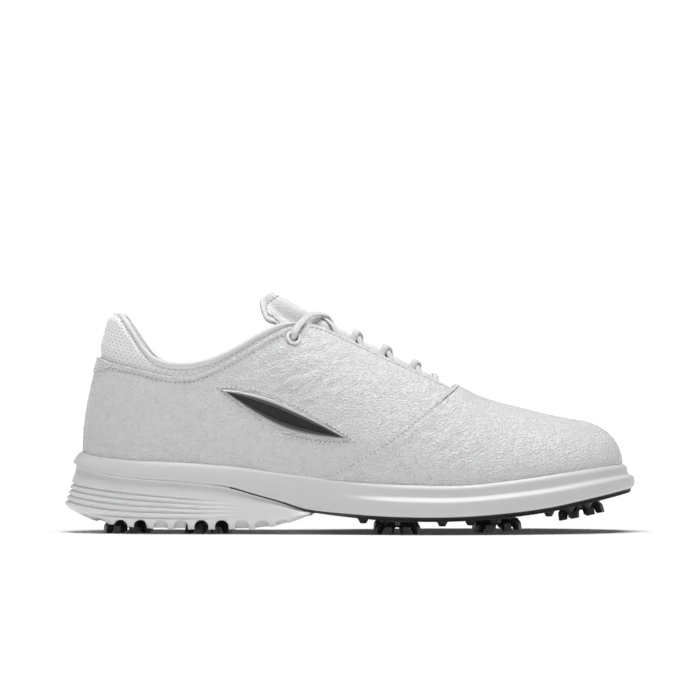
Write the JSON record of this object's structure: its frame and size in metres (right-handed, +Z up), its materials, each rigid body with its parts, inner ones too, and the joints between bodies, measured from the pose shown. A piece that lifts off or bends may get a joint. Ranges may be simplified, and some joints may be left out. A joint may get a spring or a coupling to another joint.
{
  "type": "golf shoe",
  "caption": "White laced leather golf shoe with stitched panels, padded collar, foam midsole, ribbed heel unit and quarter-turn soft cleats.",
  "frame": {"origin": "centre of the shoe's outline at ground level, under the cleats' tips", "axes": "+X to the toe, +Z up, -Y to the outer (lateral) side of this right shoe"},
  "size_m": [0.302, 0.1138, 0.1249],
  "materials": {
    "leather_white": "satin full-grain white leather",
    "tongue_leather": "satin white leather over padding",
    "collar_textile": "white synthetic with fine perforations",
    "topline_binding": "smooth white rolled binding",
    "collar_foam": "open-cell padding",
    "lining_textile": "light grey knitted lining",
    "stiffener": "thermoplastic-coated board",
    "badge_grey": "matt dark grey with a pale edge",
    "badge_black": "matt black",
    "eyelet_plastic": "moulded white",
    "webbing": "woven white tape",
    "lace_textile": "woven white",
    "aglet_plastic": "clear-white sheath",
    "sockliner_textile": "foam with textile cover",
    "board": "stitched lasting board",
    "shank_plastic": "moulded nylon",
    "midsole_foam": "smooth moulded foam",
    "heel_tpu": "smooth moulded white",
    "plate_tpu": "satin black",
    "socket_plastic": "moulded black",
    "cleat_tpu": "satin black"
  },
  "bodies": {
    "shoe": {"vamp": "leather_white", "quarter_lateral": "leather_white", "quarter_medial": "leather_white", "heel_patch": "leather_white", "collar_panel": "collar_textile", "topline_roll": "topline_binding", "collar_foam": "collar_foam", "quarter_lining": "lining_textile", "vamp_lining": "lining_textile", "heel_counter": "stiffener", "toe_puff": "stiffener", "eyestay_lateral": "stiffener", "eyestay_medial": "stiffener", "badge_backing_lateral": "badge_grey", "badge_backing_medial": "badge_grey", "badge_inlay_lateral": "badge_black", "badge_inlay_medial": "badge_black", "eyelet_ring_lateral": "eyelet_plastic", "eyelet_ring_medial": "eyelet_plastic", "lace_loops": "webbing", "lace": "lace_textile", "lace_end_lateral": "lace_textile", "lace_end_medial": "lace_textile", "aglet_lateral": "aglet_plastic", "aglet_medial": "aglet_plastic", "sockliner": "sockliner_textile", "lasting_board": "board", "shank": "shank_plastic", "midsole": "midsole_foam", "heel_outsole": "heel_tpu", "forefoot_outsole": "plate_tpu", "cleat_socket_1": "socket_plastic", "cleat_socket_2": "socket_plastic", "cleat_socket_3": "socket_plastic", "cleat_socket_4": "socket_plastic", "cleat_socket_5": "socket_plastic", "cleat_socket_6": "socket_plastic", "cleat_socket_7": "socket_plastic", "cleat_socket_8": "socket_plastic", "cleat_socket_9": "socket_plastic"},
    "tongue": {"tongue": "tongue_leather", "tongue_lining": "lining_textile"},
    "cleat_1": {"cleat_1": "cleat_tpu"},
    "cleat_2": {"cleat_2": "cleat_tpu"},
    "cleat_3": {"cleat_3": "cleat_tpu"},
    "cleat_4": {"cleat_4": "cleat_tpu"},
    "cleat_5": {"cleat_5": "cleat_tpu"},
    "cleat_6": {"cleat_6": "cleat_tpu"},
    "cleat_7": {"cleat_7": "cleat_tpu"},
    "cleat_8": {"cleat_8": "cleat_tpu"},
    "cleat_9": {"cleat_9": "cleat_tpu"}
  },
  "joints": [
    {"name": "tongue_flex", "type": "hinge", "parent": "shoe", "child": "tongue", "pos_m": [0.0565, -0.0002, 0.0725], "axis": [0, 1, 0], "range_deg": [-12, 0], "stiffness_Nm_per_rad": 0.6, "springref_deg": 1.72},
    {"name": "cleat_1_turn", "type": "hinge", "parent": "shoe", "child": "cleat_1", "pos_m": [-0.1169, -0.01466, 0.0068], "axis": [0, 0, 1], "range_deg": [0, 60]},
    {"name": "cleat_2_turn", "type": "hinge", "parent": "shoe", "child": "cleat_2", "pos_m": [-0.1169, 0.01334, 0.0068], "axis": [0, 0, 1], "range_deg": [0, 60]},
    {"name": "cleat_3_turn", "type": "hinge", "parent": "shoe", "child": "cleat_3", "pos_m": [-0.0739, -0.02051, 0.0068], "axis": [0, 0, 1], "range_deg": [0, 60]},
    {"name": "cleat_4_turn", "type": "hinge", "parent": "shoe", "child": "cleat_4", "pos_m": [-0.0739, 0.01649, 0.0068], "axis": [0, 0, 1], "range_deg": [0, 60]},
    {"name": "cleat_5_turn", "type": "hinge", "parent": "shoe", "child": "cleat_5", "pos_m": [0.0251, -0.03179, 0.0068], "axis": [0, 0, 1], "range_deg": [0, 60]},
    {"name": "cleat_6_turn", "type": "hinge", "parent": "shoe", "child": "cleat_6", "pos_m": [0.0251, 0.02621, 0.0068], "axis": [0, 0, 1], "range_deg": [0, 60]},
    {"name": "cleat_7_turn", "type": "hinge", "parent": "shoe", "child": "cleat_7", "pos_m": [0.0776, -0.02512, 0.00802], "axis": [-0.0785, 0, 0.9969], "range_deg": [0, 60]},
    {"name": "cleat_8_turn", "type": "hinge", "parent": "shoe", "child": "cleat_8", "pos_m": [0.0776, 0.02788, 0.00802], "axis": [-0.0785, 0, 0.9969], "range_deg": [0, 60]},
    {"name": "cleat_9_turn", "type": "hinge", "parent": "shoe", "child": "cleat_9", "pos_m": [0.1221, 0.00481, 0.01487], "axis": [-0.1994, 0, 0.9799], "range_deg": [0, 60]}
  ]
}
